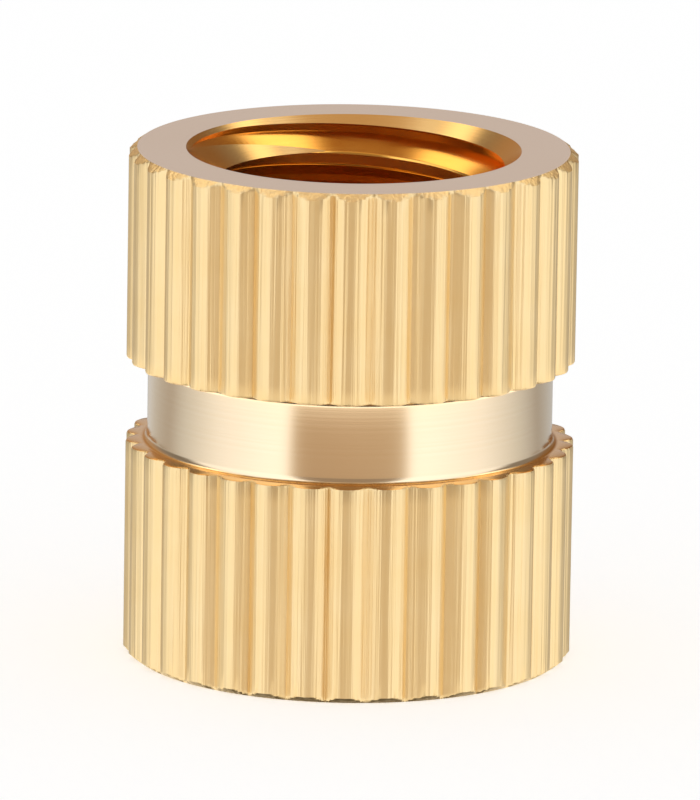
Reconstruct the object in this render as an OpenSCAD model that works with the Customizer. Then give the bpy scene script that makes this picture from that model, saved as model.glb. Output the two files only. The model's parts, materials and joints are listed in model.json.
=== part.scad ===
// Threaded insert for plastic parts, one turned piece of brass.
// Its shape follows the way it is made: bar with a straight knurl along its whole length is
// grooved, bored right through, chamfered at both mouths and cut off.
// The bore is at the tapping size, and the thread cut into it is not drawn here.
// The axis is +Z, and the origin is the centre of the lower end face.

/* [Body] */
// Length from end face to end face
insert_length = 8; // [6:0.5:14]
// Diameter over the knurl ridges
outer_d = 7; // [6.8:0.1:9]
// Width of the broken edge around each end face
edge_break = 0.1; // [0.02:0.01:0.15]

/* [Knurl] */
// Distance from one ridge to the next around the outside
ridge_pitch = 0.65; // [0.5:0.05:1]
// Height of a ridge above the bottom of the notches beside it
ridge_height = 0.14; // [0.08:0.01:0.25]
// Radius of the rounded ridge
ridge_radius = 0.37; // [0.3:0.01:0.8]

/* [Groove] */
// Length of the knurl below the groove
lower_band = 3.4; // [2:0.1:4]
// Width of the groove between the two knurled bands
groove_width = 1.3; // [0.6:0.1:1.8]
// Depth of the groove below the ridges
groove_depth = 0.35; // [0.2:0.05:0.6]
// Radius in the two corners of the groove
groove_corner = 0.1; // [0.05:0.01:0.15]

/* [Thread] */
// Nominal diameter of the screw
thread_d = 5; // [3:0.5:5]
// Pitch of the thread
thread_pitch = 0.8; // [0.5:0.05:0.8]
// How far each chamfered mouth reaches past the screw's radius
mouth_margin = 0.1; // [0.05:0.05:0.3]
// Slope of the chamfered mouths, measured from the axis
mouth_slope = 45; // [30:5:60]

/* [Hidden] */
$fn = 64;

outer_r = outer_d / 2;
ridge_count = round(PI * outer_d / ridge_pitch);
ridge_turn = 360 / ridge_count;
// The first ridge points to -Y.
first_ridge = -90;

groove_floor_r = outer_r - groove_depth;

bore_r = (thread_d - thread_pitch) / 2;
mouth_r = thread_d / 2 + mouth_margin;
mouth_depth = (mouth_r - bore_r) / tan(mouth_slope);

// How far the turned outline stands clear of the ridges where it doesn't cut them
clear_of_ridges = 0.5;

// Bar with round ridges, and narrow notches where two ridges meet
module knurled_bar() {
    linear_extrude(insert_length) {
        circle(r = outer_r - ridge_height);
        for (i = [0 : ridge_count - 1])
            rotate(first_ridge + i * ridge_turn)
                translate([outer_r - ridge_radius, 0])
                    circle(r = ridge_radius);
    }
}

// Half of the groove's section: a flat floor with a round corner at each wall
module groove_section() {
    translate([groove_floor_r, lower_band + groove_corner])
        square([groove_depth + clear_of_ridges, groove_width - 2 * groove_corner]);
    translate([groove_floor_r + groove_corner, lower_band])
        square([groove_depth + clear_of_ridges, groove_width]);
    for (z = [groove_corner, groove_width - groove_corner])
        translate([groove_floor_r + groove_corner, lower_band + z])
            circle(r = groove_corner);
}

// Half of the lathe's section: bore, chamfered mouths, end faces, broken edges and groove
module turned_section() {
    rim_r = outer_r - edge_break;
    difference() {
        polygon([
            [mouth_r, 0],
            [rim_r, 0],
            [rim_r + clear_of_ridges, clear_of_ridges],
            [rim_r + clear_of_ridges, insert_length - clear_of_ridges],
            [rim_r, insert_length],
            [mouth_r, insert_length],
            [bore_r, insert_length - mouth_depth],
            [bore_r, mouth_depth]
        ]);
        groove_section();
    }
}

module threaded_insert() {
    color("#dcb86e")
        intersection() {
            knurled_bar();
            rotate_extrude()
                turned_section();
        }
}

threaded_insert();
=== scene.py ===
import json
import math
import bpy
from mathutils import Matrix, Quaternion, Vector


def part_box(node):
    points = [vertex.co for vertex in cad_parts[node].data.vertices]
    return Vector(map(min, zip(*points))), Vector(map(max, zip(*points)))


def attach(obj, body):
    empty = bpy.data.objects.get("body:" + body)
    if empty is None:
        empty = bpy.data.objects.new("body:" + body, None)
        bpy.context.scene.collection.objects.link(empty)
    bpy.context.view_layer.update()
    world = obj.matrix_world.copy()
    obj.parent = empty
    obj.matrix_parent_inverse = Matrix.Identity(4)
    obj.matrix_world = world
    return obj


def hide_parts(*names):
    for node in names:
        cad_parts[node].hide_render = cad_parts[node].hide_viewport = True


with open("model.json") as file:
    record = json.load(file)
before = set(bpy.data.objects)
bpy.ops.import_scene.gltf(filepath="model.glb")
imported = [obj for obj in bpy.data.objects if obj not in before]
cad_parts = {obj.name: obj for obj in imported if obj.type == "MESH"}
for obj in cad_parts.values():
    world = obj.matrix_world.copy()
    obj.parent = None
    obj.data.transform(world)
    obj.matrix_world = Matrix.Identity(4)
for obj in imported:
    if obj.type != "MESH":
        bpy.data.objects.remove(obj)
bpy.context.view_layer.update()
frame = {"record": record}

# Brass insert for plastic parts: bar knurled lengthwise, then turned, drilled and tapped.
# Lengths are millimetres times mm, because the frame is in metres.
mm = 0.001
low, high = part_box("threaded_insert")
length = high.z - low.z
outerRadius = high.y  # one ridge points to -Y and one to +Y
threadMount = next(mount for mount in frame["record"]["mounts"] if mount["name"] == "thread")
drillRadius = threadMount["dims"]["r_mm"] * mm
mouthDepth = (length - threadMount["dims"]["length_mm"] * mm) / 2  # the chamfers slope at 45 degrees
mouthRadius = drillRadius + mouthDepth


def addNode(tree, kind, settings=None, inputs=None):
    node = tree.nodes.new(kind)
    for name, value in (settings or {}).items():
        setattr(node, name, value)
    for name, value in (inputs or {}).items():
        if isinstance(value, bpy.types.Node):
            value = value.outputs[0]
        if isinstance(value, bpy.types.NodeSocket):
            tree.links.new(value, node.inputs[name])
        else:
            node.inputs[name].default_value = value
    return node


def toLinear(hexColour):
    levels = [int(hexColour[i:i + 2], 16) / 255 for i in (1, 3, 5)]
    return [v / 12.92 if v <= 0.04045 else ((v + 0.055) / 1.055) ** 2.4 for v in levels] + [1.0]


# Finishes. Each grain function gives a value from 0 to 1 that lifts the surface and varies its gloss.
def brassFinish(name, look, addGrain):
    material = bpy.data.materials.new(name)
    material.use_nodes = True
    tree = material.node_tree
    tree.nodes.clear()
    place = addNode(tree, "ShaderNodeTexCoord").outputs["Object"]
    grain = addGrain(tree, place, look)
    patches = addNode(tree, "ShaderNodeTexNoise", inputs={
        "Vector": place, "Scale": 1 / look["patch"], "Detail": 2.0, "Roughness": 0.6})
    # half grain, half patches
    blend = addNode(tree, "ShaderNodeMath", {"operation": "MULTIPLY"}, {
        0: addNode(tree, "ShaderNodeMath", {"operation": "ADD"}, {0: grain, 1: patches}), 1: 0.5})
    colour = addNode(tree, "ShaderNodeMix", {"data_type": "RGBA"}, {
        0: blend, 6: toLinear(look["deep"]), 7: toLinear(look["pale"])})
    gloss = addNode(tree, "ShaderNodeMapRange", inputs={
        "Value": blend, "To Min": look["roughness"][0], "To Max": look["roughness"][1]})
    bump = addNode(tree, "ShaderNodeBump", inputs={
        "Height": grain, "Distance": look["grainHeight"], "Strength": 1.0})
    metal = addNode(tree, "ShaderNodeBsdfPrincipled", inputs={
        "Metallic": 1.0, "Base Color": colour.outputs[2], "Roughness": gloss, "Normal": bump})
    addNode(tree, "ShaderNodeOutputMaterial", inputs={"Surface": metal})
    return material


# Free-cutting brass straight from the lathe: bright and pale, with fine rings left by the feed.
turnedLook = {
    "deep": "#F2DAB6", "pale": "#F8E6CA",
    "roughness": (0.15, 0.21),
    "patch": 1.5 * mm,
    "feed": 0.05 * mm,          # how far the tool moves along a wall in one turn
    "finerAcross": 1.3,         # how much finer it feeds across an end face
    "grainHeight": 0.0006 * mm,
}


def turnedGrain(tree, place, look):
    flat = addNode(tree, "ShaderNodeVectorMath", {"operation": "MULTIPLY"}, {0: place, 1: (1, 1, 0)})
    radius = addNode(tree, "ShaderNodeVectorMath", {"operation": "LENGTH"}, {0: flat}).outputs["Value"]
    height = addNode(tree, "ShaderNodeSeparateXYZ", inputs={0: place}).outputs["Z"]
    # Radius changes across an end face, height along a wall, so their sum crosses the rings on both.
    across = addNode(tree, "ShaderNodeMath", {"operation": "MULTIPLY_ADD"}, {
        0: radius, 1: look["finerAcross"], 2: height})
    return addNode(tree, "ShaderNodeTexNoise", {"noise_dimensions": "1D"}, {
        "W": across, "Scale": 1 / look["feed"], "Detail": 3.0, "Roughness": 0.7})


# The same brass in the mouths and on the groove's walls, with painted reflection: a little deeper in
# colour, to stand in for the light of the brass that it faces.
recessedPaintedReflectionLook = {
    "deep": "#EABC76", "pale": "#F3CE92",
    "roughness": (0.18, 0.25),
    "patch": 1.0 * mm,
    "feed": 0.04 * mm,
    "finerAcross": 1.3,
    "grainHeight": 0.0006 * mm,
}


# Brass rolled by the knurling wheels: deeper gold, with soft streaks lengthwise in every ridge.
knurledLook = {
    "deep": "#F4D494", "pale": "#FEEAC0",
    "roughness": (0.42, 0.5),
    "patch": 0.8 * mm,
    "streak": 0.07 * mm,        # width of a streak
    "streakLength": 7 * mm,
    "grainHeight": 0.02 * mm,
}


def knurledGrain(tree, place, look):
    stretched = addNode(tree, "ShaderNodeMapping", inputs={
        "Vector": place, "Scale": (1 / look["streak"], 1 / look["streak"], 1 / look["streakLength"])})
    return addNode(tree, "ShaderNodeTexNoise", inputs={
        "Vector": stretched, "Scale": 1.0, "Detail": 2.0, "Roughness": 0.55})


# Brass cut by the tap, with painted reflection: its orange colour stands in for the light that its flanks
# reflect onto each other, which deepens the gold to orange.
tappedPaintedReflectionLook = {
    "deep": "#EFAC4A", "pale": "#FAC468",
    "roughness": (0.16, 0.22),
    "patch": 0.6 * mm,
    "line": 0.04 * mm,          # width of the lines that the tap's teeth leave along the flanks
    "lineLength": 1.2 * mm,
    "grainHeight": 0.0003 * mm,
}


def tappedGrain(tree, place, look):
    stretched = addNode(tree, "ShaderNodeMapping", inputs={
        "Vector": place, "Scale": (1 / look["lineLength"], 1 / look["lineLength"], 1 / look["line"])})
    return addNode(tree, "ShaderNodeTexNoise", inputs={
        "Vector": stretched, "Scale": 1.0, "Detail": 2.0, "Roughness": 0.6})


turnedBrass = brassFinish("turnedBrass", turnedLook, turnedGrain)
recessedBrassPaintedReflection = brassFinish("recessedBrassPaintedReflection", recessedPaintedReflectionLook, turnedGrain)
knurledBrass = brassFinish("coldKnurledBrass", knurledLook, knurledGrain)
tappedBrassPaintedReflection = brassFinish("tappedBrassPaintedReflection", tappedPaintedReflectionLook, tappedGrain)
print("finishes made")


# An outline is a closed line of points that carry their own radius, height and inset for the trees.
def outlineObject(name, points):
    mesh = bpy.data.meshes.new(name)
    edges = [(i, (i + 1) % len(points)) for i in range(len(points))]
    mesh.from_pydata([(radius, 0, height) for radius, height, inset in points], edges, [])
    for column, label in enumerate(("outlineRadius", "outlineHeight", "outlineInset")):
        layer = mesh.attributes.new(label, "FLOAT", "POINT")
        layer.data.foreach_set("value", [point[column] for point in points])
    outline = bpy.data.objects.new(name, mesh)
    bpy.context.scene.collection.objects.link(outline)
    return outline


def newTree(name, sockets):
    tree = bpy.data.node_groups.new(name, "GeometryNodeTree")
    tree.interface.new_socket("Geometry", in_out="OUTPUT", socket_type="NodeSocketGeometry")
    tree.interface.new_socket("Geometry", in_out="INPUT", socket_type="NodeSocketGeometry")
    for label, kind in sockets.items():
        tree.interface.new_socket(label, in_out="INPUT", socket_type="NodeSocket" + kind)
    return tree


def runTree(outline, tree, values):
    modifier = outline.modifiers.new(tree.name, "NODES")
    modifier.node_group = tree
    for item in tree.interface.items_tree:
        if item.in_out == "INPUT" and item.name in values:
            modifier[item.identifier] = values[item.name]
    evaluated = outline.evaluated_get(bpy.context.evaluated_depsgraph_get())
    mesh = bpy.data.meshes.new_from_object(evaluated)
    outline.modifiers.remove(modifier)
    return mesh


# The tap: one tooth swept along a right-hand helix, longer than the hole at both ends.
tapSizes = {
    "Pitch": 0.8 * mm,
    "Turns": 12,
    "Steps per Turn": 120,
    "Start Height": -0.42 * mm,
}
toothSizes = {
    "tipRadius": 2.53 * mm,     # M5 and a little clearance
    "tipHalfWidth": 0.05 * mm,
    "flankAngle": 30,
    "backRadius": drillRadius - 0.25 * mm,
    "crestSteps": ((30, 0.01 * mm), (50, 0.012 * mm), (70, 0.008 * mm)),  # rounds the thread's crest
    "flankLines": (0.08, 0.9, 1.0),  # lines near both ends keep a flank flat when it is shaded smooth
}


def toothOutline(tooth):
    radius = drillRadius + sum(step for angle, step in tooth["crestSteps"])
    halfWidth = tooth["tipHalfWidth"]
    halfWidth += (tooth["tipRadius"] - radius) * math.tan(math.radians(tooth["flankAngle"]))
    side = [(tooth["tipRadius"], tooth["tipHalfWidth"])]
    for share in tooth["flankLines"]:
        side.append(tuple(a + (b - a) * share for a, b in zip(side[0], (radius, halfWidth))))
    for angle, step in tooth["crestSteps"]:
        radius -= step
        halfWidth += step * math.tan(math.radians(angle))
        side.append((radius, halfWidth))
    side.append((tooth["backRadius"], halfWidth))
    return [(r, -h, 0) for r, h in side] + [(r, h, 0) for r, h in reversed(side)]


def tapTree():
    tree = newTree("tapTeeth", {
        "Pitch": "Float", "Turns": "Int", "Steps per Turn": "Int", "Start Height": "Float",
        "Finish": "Material"})
    given = addNode(tree, "NodeGroupInput").outputs
    count = addNode(tree, "ShaderNodeMath", {"operation": "MULTIPLY_ADD"}, {
        0: given["Turns"], 1: given["Steps per Turn"], 2: 1.0})
    # a straight line of any length will do, because every point is placed further down
    line = addNode(tree, "GeometryNodeMeshLine", inputs={"Count": count, "Offset": (mm, 0, 0)})
    numbered = addNode(tree, "GeometryNodeStoreNamedAttribute", {"data_type": "FLOAT"}, {
        "Geometry": line, "Name": "alongStep", "Value": addNode(tree, "GeometryNodeInputIndex")})
    path = addNode(tree, "GeometryNodeMeshToCurve", inputs={"Mesh": numbered})
    tooth = addNode(tree, "GeometryNodeMeshToCurve", inputs={"Mesh": given["Geometry"]})
    swept = addNode(tree, "GeometryNodeCurveToMesh", inputs={
        "Curve": path, "Profile Curve": tooth, "Fill Caps": True})
    step = addNode(tree, "GeometryNodeInputNamedAttribute", inputs={"Name": "alongStep"})
    radius = addNode(tree, "GeometryNodeInputNamedAttribute", inputs={"Name": "outlineRadius"})
    offset = addNode(tree, "GeometryNodeInputNamedAttribute", inputs={"Name": "outlineHeight"})
    turn = addNode(tree, "ShaderNodeMath", {"operation": "DIVIDE"}, {
        0: step, 1: given["Steps per Turn"]})
    angle = addNode(tree, "ShaderNodeMath", {"operation": "MULTIPLY"}, {0: turn, 1: math.tau})
    base = addNode(tree, "ShaderNodeMath", {"operation": "ADD"}, {0: offset, 1: given["Start Height"]})
    height = addNode(tree, "ShaderNodeMath", {"operation": "MULTIPLY_ADD"}, {
        0: turn, 1: given["Pitch"], 2: base})
    cosine = addNode(tree, "ShaderNodeMath", {"operation": "COSINE"}, {0: angle})
    sine = addNode(tree, "ShaderNodeMath", {"operation": "SINE"}, {0: angle})
    helix = addNode(tree, "ShaderNodeCombineXYZ", inputs={
        "X": addNode(tree, "ShaderNodeMath", {"operation": "MULTIPLY"}, {0: radius, 1: cosine}),
        "Y": addNode(tree, "ShaderNodeMath", {"operation": "MULTIPLY"}, {0: radius, 1: sine}),
        "Z": height})
    coiled = addNode(tree, "GeometryNodeSetPosition", inputs={"Geometry": swept, "Position": helix})
    realized = addNode(tree, "GeometryNodeRealizeInstances", inputs={"Geometry": coiled})
    finished = addNode(tree, "GeometryNodeSetMaterial", inputs={
        "Geometry": realized, "Material": given["Finish"]})
    addNode(tree, "NodeGroupOutput", inputs={"Geometry": finished})
    return tree


toothObject = outlineObject("tapTooth", toothOutline(toothSizes))
tapMesh = runTree(toothObject, tapTree(), dict(tapSizes, Finish=tappedBrassPaintedReflection))
tapObject = bpy.data.objects.new("tap", tapMesh)
bpy.context.scene.collection.objects.link(tapObject)
print("tap made:", len(tapMesh.polygons), "faces")


# The insert: the lathe's section swept round a circle, with the knurl as its outermost radius.
insertSizes = {
    "edgeBreak": 0.1 * mm,      # height of the broken edge
    "edgeWidth": 0.145 * mm,    # its width, just past the notches, so that each end face is round
    "lowerBand": 3.4 * mm,
    "grooveWidth": 1.3 * mm,
    "grooveDepth": 0.35 * mm,
    "grooveCorner": 0.1 * mm,
    "shoulderRound": 0.04 * mm,
    "clearOfRidges": 0.5 * mm,  # how far the section reaches past the ridges where the knurl is left
    "faceRings": 4,
    "edgeRings": 3,
    "bandRings": 14,
    "mouthRings": 4,
    "cornerSteps": 5,
}
knurlSizes = {
    "Outer Radius": outerRadius,
    "Ridges": 34,
    "Steps per Ridge": 16,
    "Ridge Radius": 0.37 * mm,
    "Ridge Height": 0.14 * mm,
    "First Ridge": -0.25,       # in turns, so that a ridge points to -Y
    "Lean": 0.09,               # how far a crown may wander sideways, as a share of its ridge
    "Drop": 0.012 * mm,         # how much lower than the highest a ridge may be
    "Streak Depth": 0.005 * mm,
    "Streaks Around": 28.0,     # makes a streak about 0.12 mm wide
    "Streaks Along": 0.2 / mm,  # and about 5 mm long
    "Seed": 7,
}
finishSizes = {
    "Mouth Radius": mouthRadius,
    "Groove Middle": insertSizes["lowerBand"] + insertSizes["grooveWidth"] / 2,
    "Groove Width": insertSizes["grooveWidth"],
    "Slack": 0.03 * mm,         # what is nearer than this counts as the same place
    "Crease Angle": math.radians(32),
    "End Face": 0.9,            # height of the normal from which a face counts as an end face
}


def insertOutline(sizes):
    far = outerRadius + sizes["clearOfRidges"]
    rim = outerRadius - sizes["edgeWidth"]
    grooveLow = sizes["lowerBand"]
    grooveHigh = grooveLow + sizes["grooveWidth"]
    corner = sizes["grooveCorner"]
    cornerCentre = outerRadius - sizes["grooveDepth"] + corner
    roundness = sizes["shoulderRound"]
    halfway = 0.3 * roundness  # how far the middle of a round shoulder lies inside both its sides
    points = []

    def addLine(start, end, count):
        for i in range(1, count + 1):
            points.append(tuple(a + (b - a) * i / count for a, b in zip(start, end)))

    def addCorner(centreHeight, startAngle):
        for i in range(sizes["cornerSteps"] + 1):
            angle = math.radians(startAngle - 90 * i / sizes["cornerSteps"])
            radius = cornerCentre + corner * math.cos(angle)
            points.append((radius, centreHeight + corner * math.sin(angle), 0))

    addLine((mouthRadius, 0, 0), (rim, 0, 0), sizes["faceRings"])
    addLine((rim, 0, 0), (outerRadius, sizes["edgeBreak"], 0), sizes["edgeRings"])
    addLine((far, sizes["edgeBreak"], 0), (far, grooveLow - roundness, 0), sizes["bandRings"])
    points.append((far, grooveLow - halfway, halfway))
    points.append((far, grooveLow, roundness))
    addCorner(grooveLow + corner, 270)
    addCorner(grooveHigh - corner, 180)
    points.append((far, grooveHigh, roundness))
    points.append((far, grooveHigh + halfway, halfway))
    points.append((far, grooveHigh + roundness, 0))
    addLine((far, grooveHigh + roundness, 0), (far, length - sizes["edgeBreak"], 0), sizes["bandRings"])
    addLine((outerRadius, length - sizes["edgeBreak"], 0), (rim, length, 0), sizes["edgeRings"])
    addLine((rim, length, 0), (mouthRadius, length, 0), sizes["faceRings"])
    addLine((mouthRadius, length, 0), (drillRadius, length - mouthDepth, 0), sizes["mouthRings"])
    addLine((drillRadius, length - mouthDepth, 0), (drillRadius, mouthDepth, 0), 1)
    addLine((drillRadius, mouthDepth, 0), (mouthRadius, 0, 0), sizes["mouthRings"])
    return points


def insertTree():
    tree = newTree("turnedInsert", {
        "Outer Radius": "Float", "Ridges": "Int", "Steps per Ridge": "Int", "Ridge Radius": "Float",
        "Ridge Height": "Float", "First Ridge": "Float", "Lean": "Float", "Drop": "Float",
        "Streak Depth": "Float", "Streaks Around": "Float", "Streaks Along": "Float", "Seed": "Int",
        "Mouth Radius": "Float", "Groove Middle": "Float", "Groove Width": "Float", "Slack": "Float",
        "Crease Angle": "Float", "End Face": "Float", "Tap": "Object",
        "Turned Finish": "Material", "Recessed Finish And Painted Reflection": "Material",
        "Tapped Finish And Painted Reflection": "Material", "Knurled Finish": "Material"})
    given = addNode(tree, "NodeGroupInput").outputs
    steps = addNode(tree, "ShaderNodeMath", {"operation": "MULTIPLY"}, {
        0: given["Ridges"], 1: given["Steps per Ridge"]})
    # any radius will do, because every point is placed further down
    circle = addNode(tree, "GeometryNodeCurvePrimitiveCircle", inputs={
        "Resolution": steps, "Radius": mm})
    numbered = addNode(tree, "GeometryNodeStoreNamedAttribute", {"data_type": "FLOAT"}, {
        "Geometry": circle, "Name": "alongStep", "Value": addNode(tree, "GeometryNodeInputIndex")})
    section = addNode(tree, "GeometryNodeMeshToCurve", inputs={"Mesh": given["Geometry"]})
    swept = addNode(tree, "GeometryNodeCurveToMesh", inputs={
        "Curve": numbered, "Profile Curve": section})
    step = addNode(tree, "GeometryNodeInputNamedAttribute", inputs={"Name": "alongStep"})
    sectionRadius = addNode(tree, "GeometryNodeInputNamedAttribute", inputs={"Name": "outlineRadius"})
    sectionHeight = addNode(tree, "GeometryNodeInputNamedAttribute", inputs={"Name": "outlineHeight"})
    inset = addNode(tree, "GeometryNodeInputNamedAttribute", inputs={"Name": "outlineInset"})

    # where a point lies round the bar, and in which ridge
    turn = addNode(tree, "ShaderNodeMath", {"operation": "DIVIDE"}, {0: step, 1: steps})
    turned = addNode(tree, "ShaderNodeMath", {"operation": "ADD"}, {0: turn, 1: given["First Ridge"]})
    angle = addNode(tree, "ShaderNodeMath", {"operation": "MULTIPLY"}, {0: turned, 1: math.tau})
    cosine = addNode(tree, "ShaderNodeMath", {"operation": "COSINE"}, {0: angle})
    sine = addNode(tree, "ShaderNodeMath", {"operation": "SINE"}, {0: angle})
    ridgePlace = addNode(tree, "ShaderNodeMath", {"operation": "MULTIPLY_ADD"}, {
        0: turn, 1: given["Ridges"], 2: 0.5})
    ridgeFloor = addNode(tree, "ShaderNodeMath", {"operation": "FLOOR"}, {0: ridgePlace})
    ridge = addNode(tree, "ShaderNodeMath", {"operation": "MODULO"}, {
        0: ridgeFloor, 1: given["Ridges"]})
    share = addNode(tree, "ShaderNodeMath", {"operation": "SUBTRACT"}, {
        0: addNode(tree, "ShaderNodeMath", {"operation": "FRACT"}, {0: ridgePlace}), 1: 0.5})

    # each ridge leans and drops a little of its own
    lean = addNode(tree, "FunctionNodeRandomValue", {"data_type": "FLOAT"}, {
        2: -1.0, 3: 1.0, "ID": ridge, "Seed": given["Seed"]}).outputs[1]
    drop = addNode(tree, "FunctionNodeRandomValue", {"data_type": "FLOAT"}, {
        2: 0.0, 3: 1.0, "ID": ridge, "Seed": addNode(
            tree, "ShaderNodeMath", {"operation": "ADD"}, {0: given["Seed"], 1: 1.0})}).outputs[1]
    shareSquare = addNode(tree, "ShaderNodeMath", {"operation": "MULTIPLY"}, {0: share, 1: share})
    middle = addNode(tree, "ShaderNodeMath", {"operation": "MULTIPLY_ADD"}, {
        0: shareSquare, 1: -4.0, 2: 1.0})  # 1 on the crown and 0 in the notches, which stay put
    reach = addNode(tree, "ShaderNodeMath", {"operation": "MULTIPLY"}, {0: middle, 1: given["Lean"]})
    sideways = addNode(tree, "ShaderNodeMath", {"operation": "MULTIPLY"}, {0: lean, 1: reach})
    leaned = addNode(tree, "ShaderNodeMath", {"operation": "ADD"}, {0: share, 1: sideways})
    ridgeTurn = addNode(tree, "ShaderNodeMath", {"operation": "DIVIDE"}, {
        0: math.tau, 1: given["Ridges"]})
    ridgeAngle = addNode(tree, "ShaderNodeMath", {"operation": "MULTIPLY"}, {0: leaned, 1: ridgeTurn})

    # radius of a round ridge, seen from the bar's axis
    centre = addNode(tree, "ShaderNodeMath", {"operation": "SUBTRACT"}, {
        0: given["Outer Radius"], 1: given["Ridge Radius"]})
    aside = addNode(tree, "ShaderNodeMath", {"operation": "MULTIPLY"}, {
        0: centre, 1: addNode(tree, "ShaderNodeMath", {"operation": "SINE"}, {0: ridgeAngle})})
    inward = addNode(tree, "ShaderNodeMath", {"operation": "MULTIPLY"}, {
        0: centre, 1: addNode(tree, "ShaderNodeMath", {"operation": "COSINE"}, {0: ridgeAngle})})
    asideSquare = addNode(tree, "ShaderNodeMath", {"operation": "MULTIPLY"}, {0: aside, 1: aside})
    radiusSquare = addNode(tree, "ShaderNodeMath", {"operation": "MULTIPLY"}, {
        0: given["Ridge Radius"], 1: given["Ridge Radius"]})
    liftSquare = addNode(tree, "ShaderNodeMath", {"operation": "SUBTRACT"}, {
        0: radiusSquare, 1: asideSquare})
    lift = addNode(tree, "ShaderNodeMath", {"operation": "SQRT"}, {0: liftSquare})
    crown = addNode(tree, "ShaderNodeMath", {"operation": "ADD"}, {0: inward, 1: lift})
    sunk = addNode(tree, "ShaderNodeMath", {"operation": "MULTIPLY"}, {0: drop, 1: given["Drop"]})
    dropped = addNode(tree, "ShaderNodeMath", {"operation": "SUBTRACT"}, {0: crown, 1: sunk})
    notch = addNode(tree, "ShaderNodeMath", {"operation": "SUBTRACT"}, {
        0: given["Outer Radius"], 1: given["Ridge Height"]})
    ridged = addNode(tree, "ShaderNodeMath", {"operation": "MAXIMUM"}, {0: dropped, 1: notch})

    # shallow streaks run along the ridges
    streakPlace = addNode(tree, "ShaderNodeCombineXYZ", inputs={
        "X": addNode(tree, "ShaderNodeMath", {"operation": "MULTIPLY"}, {
            0: cosine, 1: given["Streaks Around"]}),
        "Y": addNode(tree, "ShaderNodeMath", {"operation": "MULTIPLY"}, {
            0: sine, 1: given["Streaks Around"]}),
        "Z": addNode(tree, "ShaderNodeMath", {"operation": "MULTIPLY"}, {
            0: sectionHeight, 1: given["Streaks Along"]})})
    streaks = addNode(tree, "ShaderNodeTexNoise", inputs={
        "Vector": streakPlace, "Scale": 1.0, "Detail": 1.0})
    streaked = addNode(tree, "ShaderNodeMath", {"operation": "SUBTRACT"}, {
        0: ridged, 1: addNode(tree, "ShaderNodeMath", {"operation": "MULTIPLY"}, {
            0: streaks, 1: given["Streak Depth"]})})
    knurl = addNode(tree, "ShaderNodeMath", {"operation": "SUBTRACT"}, {0: streaked, 1: inset})
    radius = addNode(tree, "ShaderNodeMath", {"operation": "MINIMUM"}, {0: sectionRadius, 1: knurl})
    placed = addNode(tree, "GeometryNodeSetPosition", inputs={
        "Geometry": swept,
        "Position": addNode(tree, "ShaderNodeCombineXYZ", inputs={
            "X": addNode(tree, "ShaderNodeMath", {"operation": "MULTIPLY"}, {0: radius, 1: cosine}),
            "Y": addNode(tree, "ShaderNodeMath", {"operation": "MULTIPLY"}, {0: radius, 1: sine}),
            "Z": sectionHeight})})

    # painted reflection: the mouths and the groove's walls get a deeper gold for the light of the brass
    # that they face
    turnedFaces = addNode(tree, "GeometryNodeSetMaterial", inputs={
        "Geometry": placed, "Material": given["Turned Finish"]})
    isInMouth = addNode(tree, "ShaderNodeMath", {"operation": "LESS_THAN"}, {
        0: sectionRadius, 1: given["Mouth Radius"]})
    aboveMiddle = addNode(tree, "ShaderNodeMath", {"operation": "SUBTRACT"}, {
        0: sectionHeight, 1: given["Groove Middle"]})
    fromMiddle = addNode(tree, "ShaderNodeMath", {"operation": "ABSOLUTE"}, {0: aboveMiddle})
    halfGroove = addNode(tree, "ShaderNodeMath", {"operation": "MULTIPLY"}, {
        0: given["Groove Width"], 1: 0.5})
    isGrooveWall = addNode(tree, "ShaderNodeMath", {"operation": "COMPARE"}, {
        0: fromMiddle, 1: halfGroove, 2: given["Slack"]})
    recessedFaces = addNode(tree, "GeometryNodeSetMaterial", inputs={
        "Geometry": turnedFaces, "Material": given["Recessed Finish And Painted Reflection"],
        "Selection": addNode(tree, "FunctionNodeBooleanMath", {"operation": "OR"}, {
            0: isInMouth, 1: isGrooveWall})})

    # the thread is cut, which leaves the tap's finish and its painted reflection in it, and creases stay
    # crisp
    tapInfo = addNode(tree, "GeometryNodeObjectInfo", inputs={"Object": given["Tap"]})
    tapped = addNode(tree, "GeometryNodeMeshBoolean", {"operation": "DIFFERENCE", "solver": "EXACT"}, {
        "Mesh 1": recessedFaces, "Mesh 2": tapInfo.outputs["Geometry"]})
    smoothed = addNode(tree, "GeometryNodeSetShadeSmooth", {"domain": "FACE"}, {
        "Geometry": tapped, "Shade Smooth": True})
    bend = addNode(tree, "GeometryNodeInputMeshEdgeAngle").outputs["Unsigned Angle"]
    isBent = addNode(tree, "ShaderNodeMath", {"operation": "GREATER_THAN"}, {
        0: bend, 1: given["Crease Angle"]})
    # one of the two faces at a cut's edge is tapped, and such an edge is a crease however little it bends
    tappedShare = addNode(tree, "GeometryNodeFieldOnDomain", {"domain": "FACE", "data_type": "FLOAT"}, {
        0: addNode(tree, "GeometryNodeMaterialSelection", inputs={"Material": given["Tapped Finish And Painted Reflection"]})})
    isCutEdge = addNode(tree, "ShaderNodeMath", {"operation": "COMPARE"}, {
        0: tappedShare, 1: 0.5, 2: 0.25})
    creased = addNode(tree, "GeometryNodeSetShadeSmooth", {"domain": "EDGE"}, {
        "Geometry": smoothed, "Shade Smooth": False,
        "Selection": addNode(tree, "FunctionNodeBooleanMath", {"operation": "OR"}, {
            0: isBent, 1: isCutEdge})})

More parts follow.
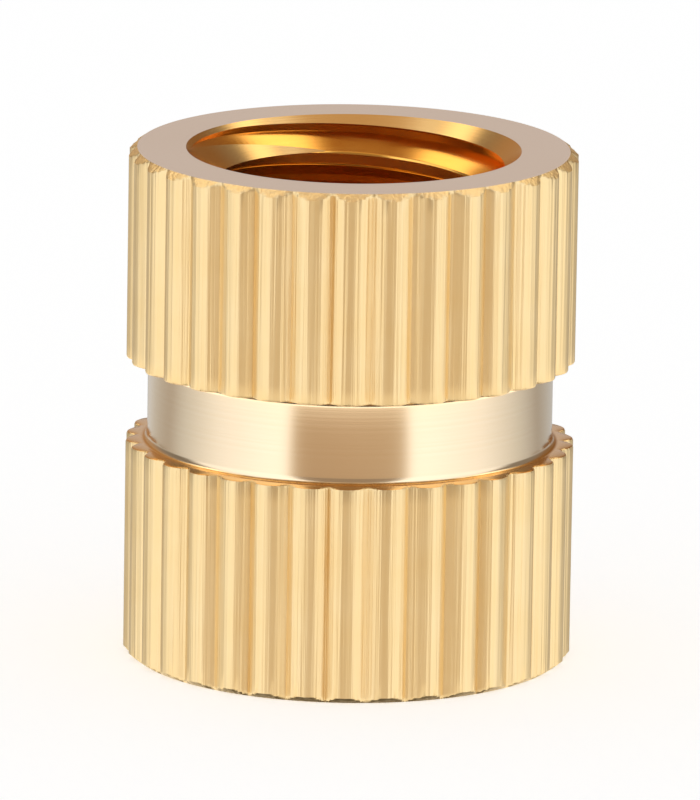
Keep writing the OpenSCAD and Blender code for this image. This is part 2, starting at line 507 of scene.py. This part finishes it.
    # outside the groove all but the end faces is knurled: the bands and the broken edges
    realized = addNode(tree, "GeometryNodeRealizeInstances", inputs={"Geometry": creased})
    position = addNode(tree, "GeometryNodeInputPosition")
    flat = addNode(tree, "ShaderNodeVectorMath", {"operation": "MULTIPLY"}, {0: position, 1: (1, 1, 0)})
    fromAxis = addNode(tree, "ShaderNodeVectorMath", {"operation": "LENGTH"}, {0: flat})
    belowNotch = addNode(tree, "ShaderNodeMath", {"operation": "SUBTRACT"}, {0: notch, 1: given["Slack"]})
    isOutside = addNode(tree, "ShaderNodeMath", {"operation": "GREATER_THAN"}, {
        0: fromAxis.outputs["Value"], 1: belowNotch})
    facing = addNode(tree, "ShaderNodeSeparateXYZ", inputs={
        0: addNode(tree, "GeometryNodeInputNormal")}).outputs["Z"]
    normalHeight = addNode(tree, "ShaderNodeMath", {"operation": "ABSOLUTE"}, {0: facing})
    isSteep = addNode(tree, "ShaderNodeMath", {"operation": "LESS_THAN"}, {
        0: normalHeight, 1: given["End Face"]})
    finished = addNode(tree, "GeometryNodeSetMaterial", inputs={
        "Geometry": realized, "Material": given["Knurled Finish"],
        "Selection": addNode(tree, "FunctionNodeBooleanMath", {"operation": "AND"}, {
            0: isOutside, 1: isSteep})})
    addNode(tree, "NodeGroupOutput", inputs={"Geometry": finished})
    return tree


sectionObject = outlineObject("latheSection", insertOutline(insertSizes))
insertMesh = runTree(sectionObject, insertTree(), {
    **knurlSizes,
    **finishSizes,
    "Tap": tapObject,
    "Turned Finish": turnedBrass,
    "Recessed Finish And Painted Reflection": recessedBrassPaintedReflection,
    "Tapped Finish And Painted Reflection": tappedBrassPaintedReflection,
    "Knurled Finish": knurledBrass,
})
insert = bpy.data.objects.new("knurledInsert", insertMesh)
bpy.context.scene.collection.objects.link(insert)
for helper in (toothObject, tapObject, sectionObject):
    bpy.data.objects.remove(helper)
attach(insert, "root")
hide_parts("threaded_insert")
print("insert made:", len(insertMesh.polygons), "faces,", [m.name for m in insertMesh.materials])


# White paper under it. It shows white to the camera and keeps the shadow.
floorSizes = {"size": 2.0, "colour": "#F4F4F4", "glow": 0.5}


def makeFloor(sizes):
    bpy.ops.mesh.primitive_plane_add(size=sizes["size"], location=(0, 0, low.z))
    floor = bpy.context.object
    floor.name = "whitePaper"
    paper = bpy.data.materials.new("whitePaper")
    paper.use_nodes = True
    tree = paper.node_tree
    tree.nodes.clear()
    matt = addNode(tree, "ShaderNodeBsdfDiffuse", inputs={"Color": toLinear(sizes["colour"])})
    glow = addNode(tree, "ShaderNodeEmission", inputs={"Strength": sizes["glow"]})
    addNode(tree, "ShaderNodeOutputMaterial", inputs={
        "Surface": addNode(tree, "ShaderNodeAddShader", inputs={0: matt, 1: glow})})
    floor.data.materials.append(paper)
    floor.visible_glossy = False  # the brass reflects the studio's walls instead


# What the brass mirrors: two tall soft boxes in front, left and right, in a dim room with a pale table and
# a wall behind that is lit at its top. Bearings are in degrees from the front (-Y), positive to the right,
# elevations in degrees, and a level of 1.0 is white.
studioLook = {
    "table": (                  # what lies around, a little below the insert
        (-180, "#FFFFFF", 0.60),
        (-158, "#FFFFFF", 0.66),
        (-140, "#FFFAF4", 0.54),
        (-124, "#FFF4EA", 0.46),
        (-110, "#FFFFFF", 0.66),
        (-98, "#FFFFFF", 0.80),
        (-80, "#FFFFFF", 1.05),
        (-36, "#FFFFFF", 1.38),
        (-31, "#FFE6C8", 0.62),
        (-26, "#FFDFBC", 0.55),
        (0, "#FFDFBC", 0.58),
        (26, "#FFE2C0", 0.60),
        (31, "#FFE8CC", 0.70),
        (36, "#FFFFFF", 1.38),
        (80, "#FFFFFF", 1.10),
        (100, "#FFFFFF", 0.85),
        (120, "#FFFFFF", 0.60),
        (134, "#FFF8F2", 0.42),
        (150, "#FFFFFF", 0.50),
        (180, "#FFFFFF", 0.60),
    ),
    "room": (                   # what stands around, above it
        (-180, "#FFF3F3", 0.60),
        (-176, "#FFF3F3", 0.60),
        (-168, "#FFD0A0", 0.45),
        (-146, "#FFD0A0", 0.45),
        (-130, "#FFF0E0", 0.25),
        (-104, "#FFF0E0", 0.20),
        (-92, "#FFFFFF", 1.15),
        (-34, "#FFFFFF", 1.50),
        (-28, "#FFE4C8", 0.35),
        (28, "#FFE4C8", 0.35),
        (34, "#FFFFFF", 1.50),
        (92, "#FFFFFF", 1.15),
        (104, "#FFF0E0", 0.25),
        (130, "#FFF0E0", 0.25),
        (146, "#FFC080", 0.25),
        (168, "#FFC080", 0.25),
        (176, "#FFF3F3", 0.60),
        (180, "#FFF3F3", 0.60),
    ),
    "horizon": (-5, 5),         # elevations over which the room takes over from the table
    "layers": (                 # colour, level, and the elevations over which it takes over
        ("#FFDFBC", 0.62, 60, 68),      # ceiling
        ("#FFF6E6", 1.65, -19, -30),    # paper close by
        ("#FFE8CC", 0.10, -38, -50),    # shade at the insert's foot
    ),
    "behind": (                 # the same, but only for the half that lies behind the insert
        ("#FFEFD0", 2.00, 37, 45),      # lit top of the back wall
        ("#FF9A40", 0.22, 61, 66),      # dark gap between the wall and the ceiling
        ("#FFDFBC", 0.62, 73, 75),      # ceiling
    ),
    "behindFrom": (0.08, 0.2),  # how far back a direction points where those take over
    "roomLight": 0.55,          # what a matt surface gets from the room
}


def litColour(hexColour, level):
    return [level * channel for channel in toLinear(hexColour)[:3]] + [1.0]


def makeStudio(look):
    world = bpy.data.worlds.new("studio")
    bpy.context.scene.world = world
    world.use_nodes = True
    tree = world.node_tree
    tree.nodes.clear()
    direction = addNode(tree, "ShaderNodeSeparateXYZ", inputs={
        0: addNode(tree, "ShaderNodeTexCoord").outputs["Generated"]}).outputs
    front = addNode(tree, "ShaderNodeMath", {"operation": "MULTIPLY"}, {0: direction["Y"], 1: -1.0})
    bearing = addNode(tree, "ShaderNodeMath", {"operation": "ARCTAN2"}, {0: direction["X"], 1: front})
    roundShare = addNode(tree, "ShaderNodeMath", {"operation": "MULTIPLY_ADD"}, {
        0: bearing, 1: 1 / math.tau, 2: 0.5})
    walls = {}
    for place in ("table", "room"):
        walls[place] = addNode(tree, "ShaderNodeValToRGB", inputs={"Fac": roundShare})
        stops = walls[place].color_ramp.elements  # a new ramp has its first and its last stop
        for i, (degrees, hexColour, level) in enumerate(look[place]):
            at = degrees / 360 + 0.5
            if i == 0:
                stop = stops[0]
            elif i == len(look[place]) - 1:
                stop = stops[-1]
            else:
                stop = stops.new(at)
            stop.position = at
            stop.color = litColour(hexColour, level)

    def takeOver(start, end):
        return addNode(tree, "ShaderNodeMapRange", {"interpolation_type": "SMOOTHSTEP"}, {
            "Value": direction["Z"],
            "From Min": math.sin(math.radians(start)), "From Max": math.sin(math.radians(end))})

    shownRoom = addNode(tree, "ShaderNodeMix", {"data_type": "RGBA"}, {
        0: takeOver(*look["horizon"]), 6: walls["table"], 7: walls["room"]})
    for hexColour, level, start, end in look["layers"]:
        shownRoom = addNode(tree, "ShaderNodeMix", {"data_type": "RGBA"}, {
            0: takeOver(start, end), 6: shownRoom.outputs[2], 7: litColour(hexColour, level)})
    isBehind = addNode(tree, "ShaderNodeMapRange", {"interpolation_type": "SMOOTHSTEP"}, {
        "Value": direction["Y"], "From Min": look["behindFrom"][0], "From Max": look["behindFrom"][1]})
    for hexColour, level, start, end in look["behind"]:
        share = addNode(tree, "ShaderNodeMath", {"operation": "MULTIPLY"}, {
            0: isBehind, 1: takeOver(start, end)})
        shownRoom = addNode(tree, "ShaderNodeMix", {"data_type": "RGBA"}, {
            0: share, 6: shownRoom.outputs[2], 7: litColour(hexColour, level)})
    rays = addNode(tree, "ShaderNodeLightPath").outputs
    seenInMetal = addNode(tree, "ShaderNodeBackground", inputs={
        "Color": shownRoom.outputs[2], "Strength": 1.0})
    plain = addNode(tree, "ShaderNodeBackground", inputs={
        "Color": (1, 1, 1, 1), "Strength": look["roomLight"]})
    white = addNode(tree, "ShaderNodeBackground", inputs={"Color": (1, 1, 1, 1), "Strength": 1.0})
    lit = addNode(tree, "ShaderNodeMixShader", inputs={
        0: rays["Is Glossy Ray"], 1: plain, 2: seenInMetal})
    shown = addNode(tree, "ShaderNodeMixShader", inputs={0: rays["Is Camera Ray"], 1: lit, 2: white})
    addNode(tree, "ShaderNodeOutputWorld", inputs={"Surface": shown})


makeFloor(floorSizes)
makeStudio(studioLook)
print("floor and studio made")


# A long lens, a little above the insert, held one degree out of level.
cameraSizes = {
    "distance": 28 * 2 * outerRadius,  # 28 times the insert's diameter
    "elevation": 13.1,
    "roll": 0.9,
    "lens": 567,
    "clipStart": 0.01,          # the nearest that it sees, in metres
}


def makeCamera(sizes):
    camera = bpy.data.objects.new("camera", bpy.data.cameras.new("camera"))
    bpy.context.scene.collection.objects.link(camera)
    elevation = math.radians(sizes["elevation"])
    target = Vector((0, 0, (low.z + high.z) / 2))
    offset = Vector((0, -math.cos(elevation), math.sin(elevation))) * sizes["distance"]
    camera.location = target + offset
    level = (-offset).to_track_quat("-Z", "Y")
    camera.rotation_mode = "QUATERNION"
    camera.rotation_quaternion = level @ Quaternion((0, 0, 1), math.radians(sizes["roll"]))
    camera.data.lens = sizes["lens"]
    camera.data.clip_start = sizes["clipStart"]
    bpy.context.scene.camera = camera


makeCamera(cameraSizes)
print("camera set")
bpy.context.scene.view_settings.view_transform = "Standard"
